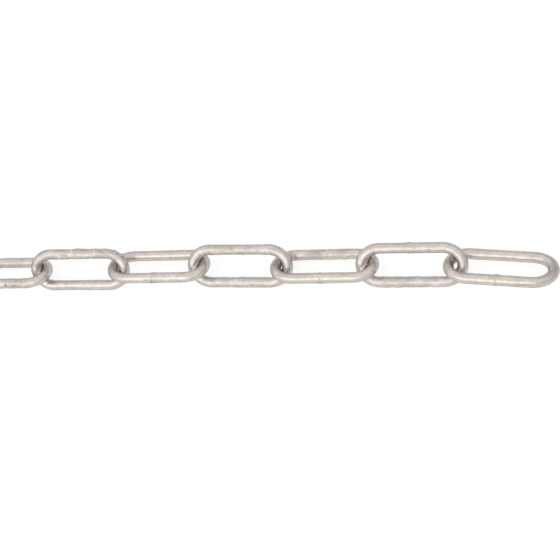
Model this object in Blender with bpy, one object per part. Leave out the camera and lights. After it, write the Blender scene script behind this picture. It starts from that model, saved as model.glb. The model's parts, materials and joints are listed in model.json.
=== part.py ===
"""One metre of 4 mm galvanised long-link steel chain, lying on a level floor.

Thirty-one welded links of one shape hang in each other. The free end runs straight along +X,
and the rest of the metre lies behind it in a flat coil of one and a half turns. Every link
leans on its lower leg, and neighbours lean opposite ways, as links do when a chain is laid down.
Lengths in the constants are millimetres and angles are degrees. The model is built in metres,
with +X towards the free end, +Z up and the origin under the middle of the whole.
"""

from math import atan2, cos, pi, radians, sin, sqrt

import bpy
from mathutils import Euler, Matrix, Vector

MM = 0.001

# The link
WIRE = 3.75               # drawn wire with its zinc, sold as 4 mm
PITCH = 32.0              # inside length
WIDTH = 16.0              # outside width
CROWN_REACH = 7.0         # how far the round end's centre line runs past the straight legs
WELD_LENGTH = 4.4         # collar that the butt weld leaves round one leg
WELD_TOP = 2.0            # full-height stretch of that collar
WELD_RISE = 0.25          # how far the collar stands proud of the wire

# Facets
SIDES = 12                # of the wire's section
CROWN_SEGMENTS = 7        # of each round end, odd so that its tip is a flat

# The chain
LINKS = 31                # 31 pitches and one pair of end thicknesses make one metre
SPACING = 31.3            # from link to link behind the run, a little slack of the pitch
LEAN = 32.0               # of a link's plane from the floor
LEAN_ENTRY = 38.0         # of the first coiled link
LEAN_COILED = 46.0        # of the other coiled links whose raised leg is the outer one

# The free run, link by link from its free end
RUN_STEPS = (0.0, 30.7, 31.2, 31.15, 31.35, 31.1, 31.3)       # back to each link from the one before
RUN_OFFSETS = (-0.8, 0.3, 0.0, 0.1, 0.0, -1.15, -2.5)         # sideways, of each link's middle
RUN_HEADINGS = (-3.8, 0.5, 0.9, 0.0, 1.1, 0.5, 0.8)           # of each link, seen from above
RUN_LEANS = (29.5, 31.5, 30.5, LEAN, 31.5, 34.5, 34.0)        # of each link's plane from the floor
STRAIGHT_LINKS = 3        # behind it, that carry the run on to the coil

# The coil
COIL_RADIUS = 78.0        # of its first turn
COIL_STEP = 20.0          # by which each turn lies inside the one before


def centre_line():
    """The link's centre line in its own plane, as stations: point, outward direction, wire radius."""
    half_width = (WIDTH - WIRE) / 2
    straight = (PITCH + WIRE) / 2 - CROWN_REACH
    radius = WIRE / 2
    reach = CROWN_REACH / cos(pi / CROWN_SEGMENTS / 2)

    def crown(side):
        stations = []
        for step in range(1, CROWN_SEGMENTS):
            angle = pi / 2 - pi * step / CROWN_SEGMENTS
            point = Vector((side * (straight + reach * cos(angle)), side * half_width * sin(angle), 0))
            outward = Vector((side * half_width * cos(angle), side * reach * sin(angle), 0)).normalized()
            stations.append((point, outward, radius))
        return stations

    def leg(side, stops):
        return [(Vector((-side * x, side * half_width, 0)), Vector((0, side, 0)), size)
                for x, size in stops]

    proud = radius + WELD_RISE
    weld_stops = ((straight, radius), (WELD_LENGTH / 2, radius), (WELD_TOP / 2, proud),
                  (-WELD_TOP / 2, proud), (-WELD_LENGTH / 2, radius), (-straight, radius))
    plain_stops = ((straight, radius), (-straight, radius))
    return leg(1, weld_stops) + crown(1) + leg(-1, plain_stops) + crown(-1)


def link_mesh():
    """One closed link: a ring of wire sections, with the weld on the leg at +Y of its own plane.

    The sections are turned so that a flat of the other leg faces the floor when the link leans.
    """
    area_true = sqrt(2 * pi / (SIDES * sin(2 * pi / SIDES)))
    facet = 2 * pi / SIDES
    first_corner = facet / 2 + radians(LEAN) % facet
    stations = centre_line()
    vertices = []
    for point, outward, radius in stations:
        corner = radius * area_true
        for side in range(SIDES):
            angle = first_corner + facet * side
            offset = outward * cos(angle) + Vector((0, 0, 1)) * sin(angle)
            vertices.append((point + offset * corner) * MM)
    faces = []
    for ring in range(len(stations)):
        following = (ring + 1) % len(stations)
        for side in range(SIDES):
            beside = (side + 1) % SIDES
            faces.append((ring * SIDES + side, ring * SIDES + beside,
                          following * SIDES + beside, following * SIDES + side))
    mesh = bpy.data.meshes.new("chain_link")
    mesh.from_pydata(vertices, [], faces)
    mesh.validate()
    mesh.shade_smooth()
    mesh.set_sharp_from_angle(angle=radians(40))
    return mesh


def zinc_material():
    """Dull hot-dip galvanised steel."""
    material = bpy.data.materials.new("galvanised_steel")
    material.use_nodes = True
    shader = material.node_tree.nodes["Principled BSDF"]
    shader.inputs["Base Color"].default_value = (0.56, 0.54, 0.51, 1.0)
    shader.inputs["Metallic"].default_value = 0.85
    shader.inputs["Roughness"].default_value = 0.45
    return material


def free_run():
    """Middles and headings of the links of the free run, from the free end."""
    places = []
    behind = 0.0
    for step, offset, heading in zip(RUN_STEPS, RUN_OFFSETS, RUN_HEADINGS):
        behind += step
        places.append((Vector((-behind, offset)), radians(heading)))
    return places


def coil_point(centre, start_angle, turned):
    """A point on the coil's flat spiral after it has turned by an angle, seen from above."""
    radius = COIL_RADIUS - COIL_STEP * turned / (2 * pi)
    angle = start_angle - turned
    return centre + radius * Vector((cos(angle), sin(angle)))


def coil_turn_after(centre, start_angle, turned):
    """How far the spiral has turned where the next joint lies, one spacing from this one."""
    here = coil_point(centre, start_angle, turned)
    low = turned
    high = turned + pi / 2
    for halving in range(40):
        middle = (low + high) / 2
        if (coil_point(centre, start_angle, middle) - here).length < SPACING:
            low = middle
        else:
            high = middle
    return (low + high) / 2


def stored_run(start, heading):
    """Middles and headings of the links behind the free run: a straight stretch, then the coil."""
    forward = Vector((cos(heading), sin(heading)))
    joints = [start - forward * SPACING * count for count in range(STRAIGHT_LINKS + 1)]
    across = Vector((-forward.y, forward.x))
    centre = joints[-1] + across * COIL_RADIUS
    start_angle = heading - pi / 2
    turned = 0.0
    for count in range(LINKS - len(RUN_OFFSETS) - STRAIGHT_LINKS):
        turned = coil_turn_after(centre, start_angle, turned)
        joints.append(coil_point(centre, start_angle, turned))
    places = []
    for near, far in zip(joints, joints[1:]):
        along = near - far
        places.append(((near + far) / 2, atan2(along.y, along.x)))
    return places


def link_lean(number):
    """A link's lean, and the half turn that puts its raised leg on the right side of its heading."""
    half_turn = 0.0 if number % 2 == 0 else pi
    in_coil = number - len(RUN_LEANS) - STRAIGHT_LINKS
    if number <= len(RUN_LEANS):
        return radians(RUN_LEANS[number - 1]), half_turn
    if number % 2 == 0 or in_coil < 1:
        return radians(LEAN), half_turn
    return radians(LEAN_ENTRY if in_coil == 1 else LEAN_COILED), half_turn


def rest_height(mesh, lean):
    """Height of a leaning link's middle when its lowest edge is on the floor."""
    turn = Matrix.Rotation(lean, 3, "X")
    return -min((turn @ vertex.co).z for vertex in mesh.vertices)


def centre_over_origin(links):
    """Moves all the links so that the origin is under the middle of their box."""
    corners = [link.matrix_basis @ vertex.co for link in links for vertex in link.data.vertices]
    middle_x = (min(c.x for c in corners) + max(c.x for c in corners)) / 2
    middle_y = (min(c.y for c in corners) + max(c.y for c in corners)) / 2
    for link in links:
        link.location.x -= middle_x
        link.location.y -= middle_y


def build_chain():
    """All the links, numbered from the free end."""
    mesh = link_mesh()
    mesh.materials.append(zinc_material())
    places = free_run()
    last_middle, last_heading = places[-1]
    half_step = Vector((cos(last_heading), sin(last_heading))) * SPACING / 2
    places += stored_run(last_middle - half_step, last_heading)
    links = []
    for number, (middle, heading) in enumerate(places, start=1):
        lean, half_turn = link_lean(number)
        link = bpy.data.objects.new(f"link_{number:02d}", mesh)
        link.location = (middle.x * MM, middle.y * MM, rest_height(mesh, lean))
        link.rotation_euler = Euler((lean, 0, heading + half_turn))
        bpy.context.scene.collection.objects.link(link)
        links.append(link)
    centre_over_origin(links)
    bpy.context.view_layer.update()


for old in list(bpy.data.objects):
    bpy.data.objects.remove(old, do_unlink=True)
build_chain()
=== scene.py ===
"""Looks of a metre of galvanised long-link chain.

Each solid link of the frame is replaced by a finer one of the same wire, at the same place: the
zinc's waves, lumps and runs, and each link's weld, are in its mesh. Lengths in the constants are
millimetres and angles are degrees, unless a comment says otherwise. Scene units are metres.
"""

import json
from math import cos, pi, radians, sin, sqrt

import bpy
import numpy as np
from mathutils import Euler, Matrix, Vector

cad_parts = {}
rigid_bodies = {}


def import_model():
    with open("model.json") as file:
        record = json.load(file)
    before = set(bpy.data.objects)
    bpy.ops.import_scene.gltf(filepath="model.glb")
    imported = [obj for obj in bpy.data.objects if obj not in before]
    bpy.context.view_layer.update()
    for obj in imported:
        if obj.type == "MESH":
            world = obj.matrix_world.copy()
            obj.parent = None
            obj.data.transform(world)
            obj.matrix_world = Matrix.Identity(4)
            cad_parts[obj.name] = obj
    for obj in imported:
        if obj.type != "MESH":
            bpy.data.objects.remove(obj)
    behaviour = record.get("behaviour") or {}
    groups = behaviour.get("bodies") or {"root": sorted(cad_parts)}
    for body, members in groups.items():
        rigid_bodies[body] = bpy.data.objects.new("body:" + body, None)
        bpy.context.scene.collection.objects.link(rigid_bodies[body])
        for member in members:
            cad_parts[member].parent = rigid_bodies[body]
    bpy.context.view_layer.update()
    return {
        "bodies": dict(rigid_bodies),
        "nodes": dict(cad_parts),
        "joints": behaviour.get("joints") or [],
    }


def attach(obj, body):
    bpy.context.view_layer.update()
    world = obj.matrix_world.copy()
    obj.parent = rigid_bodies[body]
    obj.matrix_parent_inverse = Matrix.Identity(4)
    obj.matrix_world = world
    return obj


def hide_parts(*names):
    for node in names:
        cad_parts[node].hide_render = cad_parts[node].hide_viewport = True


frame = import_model()

MM = 0.001

# The camera, which sees the free end of the run from the side away from the coil
CAMERA_NEAR_LINK = "link_04"
CAMERA_FROM_LINK = (126.08, -119.21, 398.46)
CAMERA_TURN = (16.485, 14.371, 4.182)
CAMERA_LENS = 77.14

# The wire's path round a link, as in the solids
PITCH = 32.0
WIDTH = 16.0
WIRE = 3.75
CROWN_REACH = 7.0
RADIUS = WIRE / 2
HALF_WIDTH = (WIDTH - WIRE) / 2
STRAIGHT = (PITCH + WIRE) / 2 - CROWN_REACH      # half the length of a straight leg
LEG_POINTS = 60           # of the path, on each half of a leg
CROWN_POINTS = 400        # of the path, on each round end

# The finer mesh
SEEN_MESH = (48, 0.29, 0.13)      # sides, gap between sections, the same near the weld
UNSEEN_MESH = (40, 0.40, 0.20)    # the same for links that the camera doesn't see
WELD_REACH = 2.4                  # on each side of the weld's middle
WELD_EASING = 1.5                 # beyond that, until the sections are as far apart as elsewhere
SPACING_STEPS = 4000              # into which the wire is cut to work out where sections lie
AHEAD = 0.02                      # step along the wire by which its direction is found

# Where links lie against each other
CROWN_CLEARANCE = 0.07    # the most that the coat stands proud inside a crown, but for its crevices
CROWN_HOLLOW = 0.3        # the deepest that it is hollow there
CROWN_HELD = (10.5, 2.5)  # how far from the crown's tip that ends, and the stretch in which it does
INNER_SHADE_REACH = 5.5        # from the crown's tip, where the inner side is painted brown as shade from the next link
INNER_SHADE = 0.2
COAT_CLEARANCE = 0.02     # left between each coat and the middle of the gap to the next link
CREVICE = 1.4             # gap between wires within which zinc has run in
CREVICE_FILL = 0.28       # how thick it has frozen there
GAP_STEP = 0.1            # between the places on the next link's wire from which a gap is measured
SWING_STEP = 7.5          # angle between the turns of a swinging link for which its coat is kept clear
GAP_GRIME_AND_SHADE_REACH = 0.7         # gap within which the zinc is brown, with grime and painted shade
GAP_GRIME_AND_SHADE = 0.9               # how brown it is in the narrowest gap

# Waves of the zinc coat: length of the wave, and its height
WANDER = (26.0, 0.028)
RIPPLE = (4.2, 0.025)
GRAIN = (1.8, 0.013)
LUMPS = (1.25, 0.045)
PITS = (1.1, 0.05)
RIPPLE_STRETCH = 1.4      # along the wire
LUMPS_ABOVE = 1.8         # only the tops of the lumps' waves stand out of the coat
PITS_ABOVE = 1.9          # and only those of the pits' waves lie in it
PITS_DIRT = 0.25

# Welds that the camera doesn't see
WELD_SWELLING = (0.07, 1.5)       # height, and length along the wire
WELD_SEAM = (0.07, 0.2)           # depth, and width along the wire
SEAM_BREAKS = 6.0                 # length of the waves that hide the seam in places
SEAM_DIRT = 0.25
WELD_LUMP = (0.8, 0.9)            # length and breadth of the lump that is left on it
WELD_LUMP_HEIGHT = (0.08, 0.2)    # by chance
WELD_LUMP_OFF = 0.6               # the most that it lies off the seam

# How rough the coat is, where 1 has the waves' full height
CROWN_WEAR = (0.5, 9.0)   # the part that is worn off at a crown's tip, and how far that reaches
ROUGH_FROM = 0.3          # what counts as smooth in the material
ROUGH_SPREAD = 1.4        # from there to what counts as rough in it
ROUGH_BY_CHANCE = (0.4, 1.7)    # of links that the camera doesn't see
WELD_BY_CHANCE = (-2.0, 2.0)    # from the middle of their raised legs

SEED = 4032

# The zinc's colours and the scales of its textures, per metre
DARK_ZINC = (0.520, 0.499, 0.481, 1.0)
LIGHT_ZINC = (0.640, 0.614, 0.594, 1.0)
LILAC = (1.0, 0.950, 0.955, 1.0)
CREAM = (0.985, 0.960, 0.900, 1.0)
BROWN = (0.17, 0.135, 0.105, 1.0)
EDGE_TINT = (0.38, 0.38, 0.40, 1.0)
MOTTLE = 620.0
PATCHES = 150.0
CRYSTALS = 780.0
CLOUDS = 230.0
SPECKS = 1500.0
SHEEN = 420.0
FINE_GRAIN = 2100.0
COARSE_GRAIN = 850.0
GRAIN_DEPTH = 0.00018     # metres

# The room, in metres and watts
FLOOR_HALF = 30.0
FLOOR_UNDER = 0.00002
FLOOR_GREY = (0.17, 0.17, 0.17, 1.0)
FLOOR_GLOW = 0.85
CAMERA_SIDE = (1.0, 0.99, 0.94, 1.0)
COIL_SIDE = (0.99, 0.965, 0.985, 1.0)
BRIGHTEST = (-0.2, -0.14, 0.95)   # the way to the brightest part of the room
ROOM_LOW = 0.59           # the room's light at its dim side, and at its bright one
ROOM_HIGH = 1.13
LAMP_TOWARDS = (-0.25, -0.58, 0.78)
LAMP_AWAY = 1.2
LAMP_SIZE = (1.5, 0.8)
LAMP_POWER = 3.5
LAMP_COLOUR = (1.0, 0.965, 0.925)


def smooth_step(value):
    value = np.clip(value, 0.0, 1.0)
    return value * value * (3 - 2 * value)


def link_path():
    """Dense points round the link's centre line, and the length of wire up to each.

    The line starts at the middle of the raised leg.
    """
    leg = np.linspace(0, STRAIGHT, LEG_POINTS, endpoint=False)
    turn = np.linspace(0, pi, CROWN_POINTS, endpoint=False)
    back = np.linspace(STRAIGHT, -STRAIGHT, 2 * LEG_POINTS, endpoint=False)
    last = np.linspace(-STRAIGHT, 0, LEG_POINTS + 1)
    x = np.concatenate([leg, STRAIGHT + CROWN_REACH * np.sin(turn), back,
                        -STRAIGHT - CROWN_REACH * np.sin(turn), last])
    y = np.concatenate([leg * 0 + HALF_WIDTH, HALF_WIDTH * np.cos(turn), back * 0 - HALF_WIDTH,
                        -HALF_WIDTH * np.cos(turn), last * 0 + HALF_WIDTH])
    run = np.concatenate([[0.0], np.cumsum(np.hypot(np.diff(x), np.diff(y)))])
    return x, y, run


PATH_X, PATH_Y, PATH_RUN = link_path()
LOOP = PATH_RUN[-1]                    # length of wire in a link
GIRTH = 2 * pi * RADIUS
CROWN_TIP = LOOP / 4                   # where the wire turns back, towards the free end
RESTING_MIDDLE = LOOP / 2


def link_place(node):
    """A solid link's middle, and its axes as columns.

    They point along it, from its resting to its raised leg, and square to both.
    """
    corners = np.array([vertex.co for vertex in frame["nodes"][node].data.vertices])
    corners = np.unique(corners.round(7), axis=0)
    middle = corners.mean(axis=0)
    spread, axes = np.linalg.eigh((corners - middle).T @ (corners - middle))
    up = axes[:, 0] * (1 if axes[2, 0] > 0 else -1)
    raised = axes[:, 1] * (1 if axes[2, 1] > 0 else -1)
    forward = np.cross(raised, up)
    turned = np.stack([forward, raised, up], axis=1)
    local = (corners - middle) @ turned
    ends = local[np.abs(local[:, 0]) > STRAIGHT * MM]
    return middle + turned @ ((ends.min(axis=0) + ends.max(axis=0)) / 2), turned


PLACES = {node: link_place(node) for node in frame["nodes"]}
JOINTS = {joint["name"]: joint for joint in frame["joints"]}


def ring_places(weld, gap, weld_gap):
    """Where along the wire its sections lie, closer together near the weld."""
    fine = np.linspace(0, LOOP, SPACING_STEPS + 1)
    from_weld = np.abs((fine - weld + LOOP / 2) % LOOP - LOOP / 2)
    near = smooth_step((WELD_REACH + WELD_EASING - from_weld) / WELD_EASING)
    density = 1 / (gap + (weld_gap - gap) * near)
    counted = np.concatenate([[0.0], np.cumsum((density[1:] + density[:-1]) / 2 * np.diff(fine))])
    rings = int(round(counted[-1]))
    return np.interp(np.arange(rings) * counted[-1] / rings, counted, fine)


class Wire:
    """The surface of one link's wire: sections along it, and sides round it, with the coat's height.

    A place on it is a distance along the wire from the middle of the raised leg towards the free end,
    and a turn from the link's outer side towards its upper side. At each place, height is the coat's,
    fill is how thick zinc has frozen in a crevice, dirt_and_shade is how brown it is, from dirt and
    from painted shade, and rough is how much of the coat's waves it has.
    """

    def __init__(self, number, weld, raised, resting):
        self.node = f"link_{number:02d}"
        self.flip = 1 if number % 2 == 0 else -1    # neighbours lie half a turn apart
        self.random = np.random.default_rng(SEED + number)
        self.weld = weld
        sides, gap, weld_gap = SEEN_MESH if number in SEEN else UNSEEN_MESH
        rings = ring_places(self.flip * weld, gap, weld_gap)
        self.along, self.turn = np.meshgrid(rings, np.arange(sides) * 2 * pi / sides, indexing="ij")
        # 1 on the raised leg, and 0 on the resting one
        on_raised = smooth_step(0.5 + 1.2 * np.cos(2 * pi * self.along / LOOP))
        most_worn, reach = CROWN_WEAR
        worn = most_worn * np.exp(-(self.from_crown_tip() / reach) ** 2)
        self.rough = (resting + (raised - resting) * on_raised) * (1 - worn)
        self.height = np.zeros(self.along.shape)
        self.fill = np.full(self.along.shape, CREVICE_FILL)
        self.dirt_and_shade = np.zeros(self.along.shape)

    def run_from(self, along):
        return (self.flip * self.along - along + LOOP / 2) % LOOP - LOOP / 2

    def arc_from(self, turn):
        return ((self.turn - radians(turn) + pi) % (2 * pi) - pi) * RADIUS

    def from_crown_tip(self):
        return np.minimum(np.abs(self.run_from(CROWN_TIP)), np.abs(self.run_from(-CROWN_TIP)))

    def waves(self, length, count=36, stretch=1.0):
        """Seamless random waves over the wire, with a spread of one."""
        field = np.zeros(self.along.shape)
        for wave in range(count):
            heading = self.random.uniform(0, pi)
            rate = self.random.uniform(0.65, 1.5) / length
            lengthwise = round(LOOP * rate * cos(heading) / stretch)
            crosswise = round(GIRTH * rate * sin(heading))
            phase = self.random.uniform(0, 2 * pi)
            field += np.cos(2 * pi * lengthwise * self.along / LOOP + crosswise * self.turn + phase)
        return field * sqrt(2 / count)

    def spot(self, along, turn, length, breadth):
        """One at a place, falling off within so many millimetres along the wire and round it."""
        return np.exp(-(self.run_from(along) / length) ** 2 - (self.arc_from(turn) / breadth) ** 2)

    def lump(self, along, turn, height, length, breadth, dirt_and_shade=0.0):
        """A rounded lump, or a hollow where the height is less than nothing, browned by dirt and by
        painted shade in and beside it.
        """
        spot = self.spot(along, turn, length, breadth)
        self.height += height * spot
        self.dirt_and_shade += dirt_and_shade * spot

    def crease(self, along, turn, depth, width, breadth, slant=0.0, dirt_and_shade=0.8):
        """A narrow cut across the wire, which drifts along it by slant for each millimetre round it,
        browned in it by dirt and by painted shade.
        """
        across = self.arc_from(turn)
        cut = np.exp(-((self.run_from(along) - slant * across) / width) ** 2 - (across / breadth) ** 4)
        self.height -= depth * cut
        self.dirt_and_shade += dirt_and_shade * cut

    def swelling(self, along, height, length):
        self.height += height * np.exp(-(self.run_from(along) / length) ** 2)

    def points(self, reach):
        """Where the surface lies, in metres, when it is this far from the wire's centre line."""
        run = self.along[:, 0]
        x = np.interp(run, PATH_RUN, PATH_X)
        y = np.interp(run, PATH_RUN, PATH_Y)
        ahead = (run + AHEAD) % LOOP
        behind = (run - AHEAD) % LOOP
        run_x = np.interp(ahead, PATH_RUN, PATH_X) - np.interp(behind, PATH_RUN, PATH_X)
        run_y = np.interp(ahead, PATH_RUN, PATH_Y) - np.interp(behind, PATH_RUN, PATH_Y)
        size = np.hypot(run_x, run_y)
        outward_x = (-run_y / size)[:, None]
        outward_y = (run_x / size)[:, None]
        local = np.stack([x[:, None] + outward_x * np.cos(self.turn) * reach,
                          y[:, None] + outward_y * np.cos(self.turn) * reach,
                          np.sin(self.turn) * reach], axis=-1)
        middle, axes = PLACES[self.node]
        return middle + (local * MM) @ axes.T

    def gap_to(self, node, pivot=(0.0, 0.0, 0.0), turn=np.eye(3)):
        """How far each place on the wire is from another link's wire, where that is within a crevice.

        The other link may be turned about a pivot first.
        """
        middle, axes = PLACES[node]
        run = np.arange(0, LOOP, GAP_STEP)
        x = np.interp(run, PATH_RUN, PATH_X)
        y = np.interp(run, PATH_RUN, PATH_Y)
        other = middle + (np.stack([x, y, run * 0], axis=1) * MM) @ axes.T
        other = pivot + (other - pivot) @ turn.T
        surface = self.points(RADIUS)
        centres = self.points(0.0)[:, 0]
        apart = np.linalg.norm(centres[:, None] - other, axis=-1)
        reach = (WIRE + CREVICE) * MM
        gap = np.full(self.along.shape, 2 * CREVICE)
        for ring in np.flatnonzero(apart.min(axis=1) < reach):
            near = other[apart[ring] < reach]
            away = np.linalg.norm(surface[ring][:, None] - near, axis=-1).min(axis=1)
            gap[ring] = away / MM - RADIUS
        return gap


def plain_weld(wire):
    """What the butt weld leaves: a low swelling, with a seam that shows in places."""
    wire.swelling(wire.weld, *WELD_SWELLING)
    depth, width = WELD_SEAM
    shows = smooth_step(wire.waves(SEAM_BREAKS, count=12) * 0.6 + 0.4)
    seam = np.exp(-(wire.run_from(wire.weld) / width) ** 2) * shows
    wire.height -= depth * seam
    wire.dirt_and_shade += SEAM_DIRT * seam
    chance = wire.random
    along = wire.weld + chance.uniform(-WELD_LUMP_OFF, WELD_LUMP_OFF)
    turn = chance.uniform(0, 360)
    wire.lump(along, turn, chance.uniform(*WELD_LUMP_HEIGHT), *WELD_LUMP)


# The marks of each link that the camera sees: lumps, seams, notches and drips at its weld and bends,
# browned by dirt and by painted shade in and beside them
def marks_01(wire):
    wire.swelling(wire.weld, 0.04, 1.3)
    # A lump, darkened with painted shade
    wire.lump(-0.6, 126, 0.22, 0.7, 0.6, dirt_and_shade=0.4)
    wire.lump(0.3, 118, -0.04, 0.3, 0.4, dirt_and_shade=0.5)
    wire.crease(-0.8, 38, 0.08, 0.15, 0.8, slant=0.4, dirt_and_shade=0.5)
    wire.crease(-0.8, 38, 0.08, 0.15, 0.8, slant=-0.4, dirt_and_shade=0.5)
    wire.lump(-0.8, -14, -0.06, 0.3, 0.5, dirt_and_shade=0.6)
    wire.lump(-1.0, -40, 0.06, 0.7, 0.6)
    for along in (-18.4, -19.4, -20.4, -21.3, -22.2):
        wire.crease(along, 130, 0.14, 0.25, 0.7, slant=0.25)
    for along, turn in ((8.2, 12), (11.0, 24), (14.2, 36)):
        wire.lump(along, turn, -0.03, 1.8, 0.3, dirt_and_shade=0.5)
    # Painted shade: a broad brown darkening over the crown at the free end
    wire.dirt_and_shade += 0.35 * wire.spot(20.6, 75, 7.0, 1.7)


def marks_02(wire):
    wire.swelling(wire.weld, 0.07, 1.3)
    wire.lump(-0.3, 140, 0.12, 0.7, 0.7, dirt_and_shade=0.3)
    wire.lump(-0.5, -10, 0.14, 0.8, 0.7, dirt_and_shade=0.4)
    wire.crease(6.8, 110, 0.04, 0.2, 0.9, dirt_and_shade=0.5)
    wire.fill += 3.0 * wire.spot(-20.6, 190, 1.8, 1.5)


def marks_03(wire):
    wire.swelling(wire.weld, 0.03, 1.2)
    wire.crease(-0.35, 32, 0.09, 0.15, 0.9, slant=0.45, dirt_and_shade=0.45)
    wire.crease(-0.35, 32, 0.09, 0.15, 0.9, slant=-0.45, dirt_and_shade=0.45)
    wire.lump(-0.3, 118, 0.14, 0.5, 0.5, dirt_and_shade=0.2)
    wire.lump(-0.4, -26, 0.10, 0.5, 0.6, dirt_and_shade=0.3)
    wire.fill += 0.5 * wire.spot(20.6, 146, 1.5, 1.2)


def marks_04(wire):
    wire.swelling(wire.weld, 0.04, 1.4)
    wire.lump(wire.weld, 192, 0.16, 0.7, 0.7, dirt_and_shade=0.2)
    wire.crease(wire.weld + 0.9, 100, 0.03, 0.2, 1.2, dirt_and_shade=0.3)
    wire.fill += 0.5 * wire.spot(-20.4, 192, 2.0, 1.8)


def marks_05(wire):
    wire.swelling(wire.weld, 0.03, 1.2)
    wire.crease(-0.58, 10, 0.08, 0.14, 1.0, slant=0.2, dirt_and_shade=0.4)
    wire.lump(-0.74, -20, -0.24, 0.24, 0.7, dirt_and_shade=1.3)
    wire.lump(-0.3, 122, 0.14, 0.7, 0.6, dirt_and_shade=0.2)
    wire.lump(10.2, 40, -0.05, 0.9, 1.2)
    wire.lump(10.3, -14, 0.12, 1.2, 0.7)
    wire.lump(10.0, 0, -0.05, 0.6, 0.4, dirt_and_shade=0.6)


def marks_06(wire):
    wire.swelling(wire.weld, 0.05, 1.4)
    wire.lump(-0.2, 132, 0.14, 0.8, 0.7, dirt_and_shade=0.3)
    wire.lump(-0.3, -4, 0.06, 0.8, 0.6, dirt_and_shade=0.3)
    wire.crease(10.3, 46, 0.09, 0.26, 0.8, slant=1.3, dirt_and_shade=0.8)
    wire.lump(11.2, 20, 0.10, 0.5, 0.8)
    wire.lump(14.3, -18, 0.34, 0.6, 0.8)
    wire.lump(16.3, -20, 0.30, 0.5, 0.7)
    wire.lump(13.9, 26, -0.06, 0.35, 0.7, dirt_and_shade=0.6)
    wire.lump(15.4, -8, -0.14, 0.3, 0.9, dirt_and_shade=1.5)
    wire.lump(17.3, -10, -0.12, 0.35, 0.8, dirt_and_shade=1.5)
    wire.fill += 0.5 * wire.spot(-21.7, 205, 2.0, 1.8)


def marks_07(wire):
    wire.swelling(wire.weld, 0.04, 1.2)
    wire.lump(3.9, 16, -0.10, 0.35, 0.5, dirt_and_shade=0.9)
    wire.lump(7.3, 6, -0.10, 0.8, 0.4, dirt_and_shade=0.7)
    wire.lump(5.6, -20, 0.06, 1.1, 0.8)


# Links that the camera sees: place of the weld, roughness of the raised and of the resting leg, marks
SEEN = {
    1: (-0.8, 0.7, 0.4, marks_01),
    2: (-0.4, 0.9, 1.3, marks_02),
    3: (-0.35, 0.5, 1.9, marks_03),
    4: (RESTING_MIDDLE - 0.3, 1.4, 1.1, marks_04),
    5: (-0.5, 0.7, 0.35, marks_05),
    6: (-0.3, 2.0, 0.5, marks_06),
    7: (0.0, 1.3, 1.2, marks_07),
}


def unseen(number):
    """The same facts for a link that the camera doesn't see, by chance."""
    chance = np.random.default_rng(SEED * 2 + number)
    weld = chance.uniform(*WELD_BY_CHANCE)
    raised = chance.uniform(*ROUGH_BY_CHANCE)
    resting = chance.uniform(*ROUGH_BY_CHANCE)
    return weld, raised, resting, plain_weld


def zinc_coat(wire):
    """The coat's own waves and lumps, rougher on one leg than on the other."""
    length, height = WANDER
    wire.height += height * wire.waves(length, count=10)
    length, height = RIPPLE
    wire.height += height * wire.rough * wire.waves(length, stretch=RIPPLE_STRETCH)
    length, height = GRAIN
    wire.height += height * wire.rough * wire.waves(length)
    length, height = LUMPS
    lumps = np.clip(wire.waves(length, count=60) - LUMPS_ABOVE, 0, None)
    wire.height += height * wire.rough * lumps
    length, depth = PITS
    pits = np.clip(wire.waves(length, count=60) - PITS_ABOVE, 0, None)
    wire.height -= depth * wire.rough * pits
    wire.dirt_and_shade += PITS_DIRT * pits


def hold_crowns(wire):
    """Holds the coat down inside the crowns, where the next link slides, and paints brown shade on
    their inner side near the tip.

    The turn's cosine is -1 at the wire's inner side, where both steps below are at their fullest.
    """
    from_tip = wire.from_crown_tip()
    end, stretch = CROWN_HELD
    inner_half = smooth_step(0.6 - 1.4 * np.cos(wire.turn))
    inside = inner_half * smooth_step((end - from_tip) / stretch)
    held = np.clip(wire.height, -CROWN_HOLLOW, CROWN_CLEARANCE)
    wire.height += (held - wire.height) * inside
    innermost = smooth_step(-0.15 - 1.1 * np.cos(wire.turn))
    # Painted shade: the inner side near the crown's tip is browned where the next link lies against it
    wire.dirt_and_shade += INNER_SHADE * (np.exp(-(from_tip / INNER_SHADE_REACH) ** 2) * innermost)


def swings(number, other):
    """How a neighbour turns past this link as their joint swings: the joint's place, and each turn."""
    joint = JOINTS.get(f"link_{min(number, other):02d}_swing")
    if joint is None:
        return []
    way = 1 if other < number else -1    # a link hangs in the one numbered after it
    pivot = np.array(joint["pos_m"])
    low, high = joint["range_deg"]
    return [(pivot, np.array(Matrix.Rotation(radians(way * angle), 3, Vector(joint["axis"]))))
            for angle in np.arange(low, high + SWING_STEP / 2, SWING_STEP)]


def fill_crevices(wire, number):
    """Zinc in the narrow gaps to the next links, and brown grime with painted shade there.

    Each coat stays on its side of the middle of the gap, at rest and as the links swing.
    """
    for other in (number - 1, number + 1):
        node = f"link_{other:02d}"
        if node not in PLACES:
            continue
        gap = wire.gap_to(node)
        room = gap / 2 - COAT_CLEARANCE
        near = smooth_step(2 * (1 - gap / CREVICE))    # all of it from half a crevice inwards
        filled = np.maximum(wire.height, np.minimum(room, wire.fill * near))
        wire.height += (filled - wire.height) * smooth_step(4 * near)
        for pivot, turn in swings(number, other):
            room = np.minimum(room, wire.gap_to(node, pivot, turn) / 2 - COAT_CLEARANCE)
        wire.height = np.minimum(wire.height, room)
        # Brown grime and painted shade in the narrow gap to the next link
        wire.dirt_and_shade += GAP_GRIME_AND_SHADE * smooth_step(1 - gap / GAP_GRIME_AND_SHADE_REACH)


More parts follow.
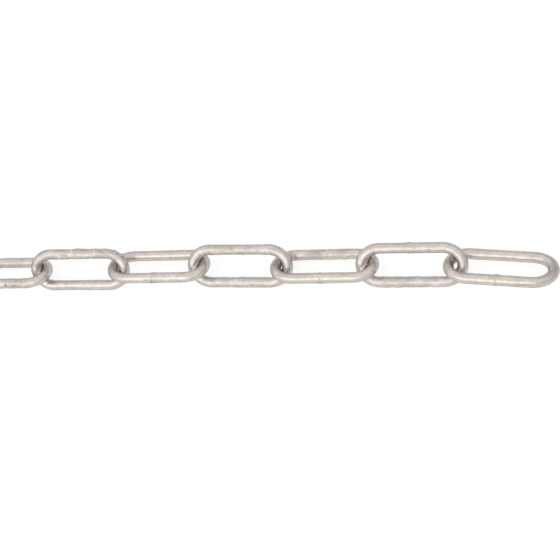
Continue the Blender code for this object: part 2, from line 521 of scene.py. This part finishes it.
def wire_mesh(wire):
    """The mesh of the wire's surface, with its height, its dirt and painted shade, and roughness as
    attributes.
    """
    placed = wire.points(RADIUS + wire.height).reshape(-1, 3)
    placed[:, 2] = placed[:, 2].clip(0.0, None)
    rings, sides = wire.along.shape
    ring, side = np.meshgrid(np.arange(rings), np.arange(sides), indexing="ij")
    following = (ring + 1) % rings
    beside = (side + 1) % sides
    faces = np.stack([ring * sides + side, following * sides + side,
                      following * sides + beside, ring * sides + beside], axis=-1).reshape(-1, 4)
    mesh = bpy.data.meshes.new(f"{wire.node}_wire")
    mesh.from_pydata(placed.tolist(), [], faces.tolist())
    mesh.shade_smooth()
    rough = smooth_step((wire.rough - ROUGH_FROM) / ROUGH_SPREAD)
    # The brown attribute holds both dirt and painted shade
    for name, values in (("relief", wire.height), ("dirt_and_shade", wire.dirt_and_shade), ("rough", rough)):
        attribute = mesh.attributes.new(name, "FLOAT", "POINT")
        attribute.data.foreach_set("value", values.astype(np.float32).ravel())
    return mesh


def build_link(number, material):
    weld, raised, resting, marks = SEEN.get(number) or unseen(number)
    wire = Wire(number, weld, raised, resting)
    zinc_coat(wire)
    marks(wire)
    hold_crowns(wire)
    fill_crevices(wire, number)
    mesh = wire_mesh(wire)
    mesh.materials.append(material)
    link = bpy.data.objects.new(f"{wire.node}_zinc", mesh)
    bpy.context.scene.collection.objects.link(link)
    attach(link, f"free_{number:02d}" if f"free_{number:02d}" in frame["bodies"] else "stored_length")
    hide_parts(wire.node)


class Tree:
    """Short calls for making a material's nodes."""

    def __init__(self, owner):
        owner.use_nodes = True
        self.nodes = owner.node_tree.nodes
        self.links = owner.node_tree.links

    def make(self, kind, inputs=None, **settings):
        node = self.nodes.new(kind)
        for name, value in settings.items():
            setattr(node, name, value)
        for name, value in (inputs or {}).items():
            self.feed(node.inputs[name], value)
        return node

    def feed(self, socket, value):
        if isinstance(value, bpy.types.NodeSocket):
            self.links.new(value, socket)
        else:
            socket.default_value = value

    def attribute(self, name):
        return self.make("ShaderNodeAttribute", attribute_name=name).outputs["Fac"]

    def noise(self, place, scale, detail=3.0, roughness=0.55):
        made = self.make("ShaderNodeTexNoise", {"Vector": place, "Scale": scale, "Detail": detail,
                                                "Roughness": roughness})
        return made.outputs[0]

    def spread(self, value, low, high, to_low, to_high):
        made = self.make("ShaderNodeMapRange", {"Value": value, "From Min": low, "From Max": high,
                                                "To Min": to_low, "To Max": to_high})
        return made.outputs["Result"]

    def mixed(self, factor, first, second, blend="MIX"):
        made = self.make("ShaderNodeMix", data_type="RGBA", blend_type=blend)
        self.feed(made.inputs[0], factor)
        self.feed(made.inputs[6], first)
        self.feed(made.inputs[7], second)
        return made.outputs[2]

    def sum(self, first, second, operation="ADD"):
        made = self.make("ShaderNodeMath", operation=operation)
        self.feed(made.inputs[0], first)
        self.feed(made.inputs[1], second)
        return made.outputs[0]


def galvanised_material():
    """Dull hot-dip zinc: two greys in a fine mottle, lilac and cream patches, brown in its pits, and
    brown dirt and painted shade where the mesh says.
    """
    material = bpy.data.materials.new("galvanised_zinc")
    tree = Tree(material)
    shader = tree.nodes["Principled BSDF"]
    shader.inputs["Metallic"].default_value = 0.85
    shader.inputs["Specular Tint"].default_value = EDGE_TINT
    place = tree.make("ShaderNodeTexCoord").outputs["Object"]
    relief = tree.attribute("relief")
    # How brown the zinc is, from dirt and from painted shade
    dirt_and_shade = tree.attribute("dirt_and_shade")
    rough = tree.attribute("rough")

    mottle = tree.noise(place, MOTTLE, 4.0, 0.6)
    patches = tree.noise(place, PATCHES, 2.0)
    colour = tree.mixed(tree.spread(mottle, 0.3, 0.7, 0.0, 1.0), DARK_ZINC, LIGHT_ZINC)
    tint = tree.mixed(tree.spread(patches, 0.40, 0.60, 0.0, 1.0), LILAC, CREAM)
    colour = tree.mixed(0.9, colour, tint, "MULTIPLY")

    # These three textures are fainter where the coat is smooth
    crystals = tree.make("ShaderNodeTexVoronoi", {"Vector": place, "Scale": CRYSTALS})
    cells = tree.spread(crystals.outputs["Color"], 0.0, 1.0, 0.95, 1.03)
    colour = tree.mixed(tree.spread(rough, 0.0, 1.0, 0.2, 1.0), colour, cells, "MULTIPLY")
    clouds = tree.noise(place, CLOUDS, 3.0)
    colour = tree.mixed(tree.spread(rough, 0.0, 1.0, 0.3, 1.0), colour,
                        tree.spread(clouds, 0.38, 0.62, 0.86, 1.12), "MULTIPLY")
    specks = tree.noise(place, SPECKS, 2.0)
    colour = tree.mixed(tree.spread(rough, 0.0, 1.0, 0.25, 1.0), colour,
                        tree.spread(specks, 0.35, 0.65, 0.92, 1.06), "MULTIPLY")

    # Brown where the mesh says, for dirt and painted shade, and a little in its hollows
    hollow = tree.spread(relief, -0.18, -0.04, 0.3, 0.0)
    soiled_and_shaded = tree.sum(tree.sum(hollow, dirt_and_shade), tree.spread(mottle, 0.3, 0.7, 1.0, 0.45), "MULTIPLY")
    soiled_and_shaded = tree.make("ShaderNodeClamp", {"Value": soiled_and_shaded, "Max": 0.85}).outputs[0]
    colour = tree.mixed(soiled_and_shaded, colour, BROWN)
    tree.feed(shader.inputs["Base Color"], colour)

    # Smooth stretches shine more evenly, and have hardly any grain
    sheen = tree.spread(tree.noise(place, SHEEN, 3.0), 0.3, 0.7, -0.06, 0.06)
    sheen = tree.sum(sheen, tree.spread(rough, 0.0, 1.0, 0.3, 1.0), "MULTIPLY")
    tree.feed(shader.inputs["Roughness"], tree.sum(tree.spread(rough, 0.0, 1.0, 0.30, 0.45), sheen))
    fine = tree.noise(place, FINE_GRAIN, 3.0)
    coarse = tree.noise(place, COARSE_GRAIN, 2.0)
    height = tree.sum(coarse, tree.sum(fine, 0.4, "MULTIPLY"))
    bump = tree.make("ShaderNodeBump", {"Strength": tree.spread(rough, 0.0, 1.0, 0.06, 0.8),
                                        "Distance": GRAIN_DEPTH, "Height": height})
    tree.feed(shader.inputs["Normal"], bump.outputs["Normal"])
    return material


def floor_material():
    """The white glass of a light table, which glows a little so that shadows on it are faint."""
    material = bpy.data.materials.new("pale_floor")
    tree = Tree(material)
    shader = tree.nodes["Principled BSDF"]
    shader.inputs["Base Color"].default_value = FLOOR_GREY
    shader.inputs["Emission Color"].default_value = (1.0, 1.0, 1.0, 1.0)
    shader.inputs["Emission Strength"].default_value = FLOOR_GLOW
    shader.inputs["Roughness"].default_value = 0.9
    shader.inputs["Specular IOR Level"].default_value = 0.0
    return material


def add_floor():
    """A pale floor, a hair under the links so that the two don't share a plane."""
    half = FLOOR_HALF
    corners = [(-half, -half), (half, -half), (half, half), (-half, half)]
    mesh = bpy.data.meshes.new("floor")
    mesh.from_pydata([(x, y, -FLOOR_UNDER) for x, y in corners], [], [(0, 1, 2, 3)])
    mesh.materials.append(floor_material())
    floor = bpy.data.objects.new("floor", mesh)
    bpy.context.scene.collection.objects.link(floor)


def add_lamp():
    """One large soft lamp, which faces the origin."""
    lamp = bpy.data.lights.new("key", "AREA")
    lamp.shape = "RECTANGLE"
    lamp.size, lamp.size_y = LAMP_SIZE
    lamp.energy = LAMP_POWER
    lamp.color = LAMP_COLOUR
    holder = bpy.data.objects.new("key", lamp)
    towards = Vector(LAMP_TOWARDS).normalized()
    holder.location = towards * LAMP_AWAY
    holder.rotation_euler = towards.to_track_quat("Z", "Y").to_euler()
    bpy.context.scene.collection.objects.link(holder)


def add_room():
    """The light of a white room, brighter overhead and a little warmer on the camera's side."""
    world = bpy.data.worlds.new("studio")
    tree = Tree(world)
    background = tree.nodes["Background"]
    facing = tree.make("ShaderNodeTexCoord").outputs["Generated"]
    facing_y = tree.make("ShaderNodeSeparateXYZ", {"Vector": facing}).outputs["Y"]
    side = tree.spread(facing_y, -0.8, 0.8, 0.0, 1.0)
    tree.feed(background.inputs["Color"], tree.mixed(side, CAMERA_SIDE, COIL_SIDE))
    height = tree.make("ShaderNodeVectorMath", operation="DOT_PRODUCT")
    tree.feed(height.inputs[0], facing)
    tree.feed(height.inputs[1], Vector(BRIGHTEST))
    light = tree.spread(height.outputs["Value"], 0.0, 0.5, ROOM_LOW, ROOM_HIGH)
    tree.feed(background.inputs["Strength"], light)
    bpy.context.scene.world = world


def add_camera():
    camera = bpy.data.objects.new("camera", bpy.data.cameras.new("camera"))
    camera.data.lens = CAMERA_LENS
    middle, axes = PLACES[CAMERA_NEAR_LINK]
    camera.location = Vector(middle) + Vector(CAMERA_FROM_LINK) * MM
    camera.rotation_euler = Euler([radians(angle) for angle in CAMERA_TURN])
    bpy.context.scene.collection.objects.link(camera)
    bpy.context.scene.camera = camera
    bpy.context.scene.view_settings.view_transform = "Standard"


add_camera()
zinc = galvanised_material()
for link_number in range(1, len(PLACES) + 1):
    build_link(link_number, zinc)
add_floor()
add_room()
add_lamp()

bpy.context.view_layer.update()
